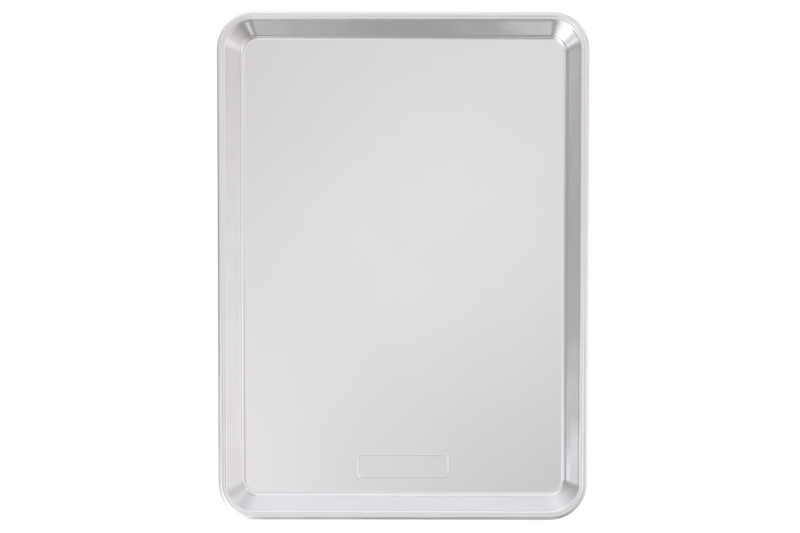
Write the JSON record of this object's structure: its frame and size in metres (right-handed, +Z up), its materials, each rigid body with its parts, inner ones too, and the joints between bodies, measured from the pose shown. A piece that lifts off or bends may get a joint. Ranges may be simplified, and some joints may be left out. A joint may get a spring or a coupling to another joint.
{
  "type": "jelly roll pan",
  "caption": "Shallow rectangular baking pan of drawn aluminium sheet, with leaning walls, rounded corners and a rim rolled round a steel wire.",
  "frame": {"origin": "centre of the underside of the floor, on the surface the pan stands on", "axes": "+X across the pan, +Y along its length, +Z up out of its open side"},
  "size_m": [0.33, 0.4516, 0.0254],
  "materials": {
    "sheet": "satin, bare rolled sheet with a faint grain",
    "wire": "dull galvanised"
  },
  "bodies": {
    "root": {"pan_body": "sheet", "rim_wire": "wire"}
  },
  "joints": []
}
